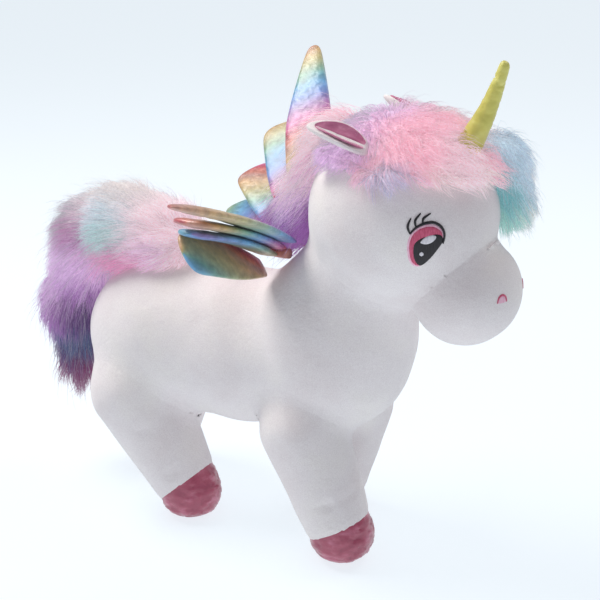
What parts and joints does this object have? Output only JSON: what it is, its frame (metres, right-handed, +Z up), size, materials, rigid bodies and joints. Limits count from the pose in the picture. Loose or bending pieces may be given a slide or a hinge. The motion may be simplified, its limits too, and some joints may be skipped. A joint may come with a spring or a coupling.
{
  "type": "plush unicorn",
  "caption": "Large standing stuffed unicorn with padded rainbow wings that flap, folding ears, a satin horn and hooves, and a faux-fur mane and tail",
  "frame": {"origin": "on the floor, at the centre of the toy's bounding box; the toy's middle plane is y = 42 mm, because its right wing is held lower and reaches further out than its left", "axes": "+X towards the nose, +Y towards the toy's left side, +Z up"},
  "size_m": [0.6249, 0.4609, 0.5797],
  "materials": {
    "velour": "short-pile velour",
    "stuffing": "loose polyester fibre",
    "hoof_satin": "crinkled satin",
    "ear_satin": "satin",
    "horn_satin": "metallic satin",
    "mane_fur": "long faux fur",
    "tail_fur": "long faux fur",
    "rainbow_satin": "rainbow print satin",
    "iris_thread": "satin-stitch embroidery",
    "black_thread": "satin-stitch embroidery",
    "white_thread": "satin-stitch embroidery"
  },
  "bodies": {
    "body": {"torso_skin_right": "velour", "torso_skin_left": "velour", "torso_fill": "stuffing", "head_skin_right": "velour", "head_skin_left": "velour", "muzzle_skin": "velour", "head_fill": "stuffing", "right_fore_leg_skin": "velour", "right_fore_leg_fill": "stuffing", "right_fore_hoof": "hoof_satin", "right_fore_sole": "hoof_satin", "left_fore_leg_skin": "velour", "left_fore_leg_fill": "stuffing", "left_fore_hoof": "hoof_satin", "left_fore_sole": "hoof_satin", "right_hind_leg_skin": "velour", "right_hind_leg_fill": "stuffing", "right_hind_hoof": "hoof_satin", "right_hind_sole": "hoof_satin", "left_hind_leg_skin": "velour", "left_hind_leg_fill": "stuffing", "left_hind_hoof": "hoof_satin", "left_hind_sole": "hoof_satin", "horn_cover": "horn_satin", "horn_fill": "stuffing", "mane_crest": "mane_fur", "forelock": "mane_fur", "side_lock": "mane_fur", "right_eye_iris": "iris_thread", "right_eye_pupil": "black_thread", "right_eye_glint": "white_thread", "right_eye_lashes": "black_thread", "right_nostril": "iris_thread", "left_eye_iris": "iris_thread", "left_eye_pupil": "black_thread", "left_eye_glint": "white_thread", "left_eye_lashes": "black_thread", "left_nostril": "iris_thread"},
    "right_ear": {"right_ear_back": "velour", "right_ear_lining": "ear_satin"},
    "right_wing": {"right_wing_root": "rainbow_satin", "right_feather_1": "rainbow_satin", "right_feather_2": "rainbow_satin", "right_feather_3": "rainbow_satin", "right_feather_4": "rainbow_satin", "right_wing_wadding": "stuffing"},
    "left_ear": {"left_ear_back": "velour", "left_ear_lining": "ear_satin"},
    "left_wing": {"left_wing_root": "rainbow_satin", "left_feather_1": "rainbow_satin", "left_feather_2": "rainbow_satin", "left_feather_3": "rainbow_satin", "left_feather_4": "rainbow_satin", "left_wing_wadding": "stuffing"},
    "tail_base": {"tail_base_fur": "tail_fur", "tail_base_fill": "stuffing"},
    "tail_brush": {"tail_brush_fur": "tail_fur", "tail_brush_fill": "stuffing"}
  },
  "joints": [
    {"name": "right_wing_flap", "type": "hinge", "parent": "body", "child": "right_wing", "pos_m": [0.038, 0.014, 0.348], "axis": [-1, 0, 0], "range_deg": [-20, 34], "stiffness_Nm_per_rad": 1},
    {"name": "left_wing_flap", "type": "hinge", "parent": "body", "child": "left_wing", "pos_m": [0.038, 0.062, 0.348], "axis": [1, 0, 0], "range_deg": [-45, 12], "stiffness_Nm_per_rad": 1},
    {"name": "right_ear_fold", "type": "hinge", "parent": "body", "child": "right_ear", "pos_m": [0.1679, -0.0309, 0.4894], "axis": [0.4769, -0.6649, 0.5749], "range_deg": [-30, 15], "stiffness_Nm_per_rad": 0.1},
    {"name": "left_ear_fold", "type": "hinge", "parent": "body", "child": "left_ear", "pos_m": [0.1679, 0.1069, 0.4894], "axis": [-0.4769, -0.6649, -0.5749], "range_deg": [-30, 15], "stiffness_Nm_per_rad": 0.1},
    {"name": "tail_lift", "type": "hinge", "parent": "body", "child": "tail_base", "pos_m": [-0.137, 0.038, 0.312], "axis": [0, 1, 0], "range_deg": [0, 35], "stiffness_Nm_per_rad": 0.8},
    {"name": "tail_swing", "type": "hinge", "parent": "tail_base", "child": "tail_brush", "pos_m": [-0.2, 0.038, 0.335], "axis": [0, 0, 1], "range_deg": [-20, 20], "stiffness_Nm_per_rad": 0.4}
  ]
}
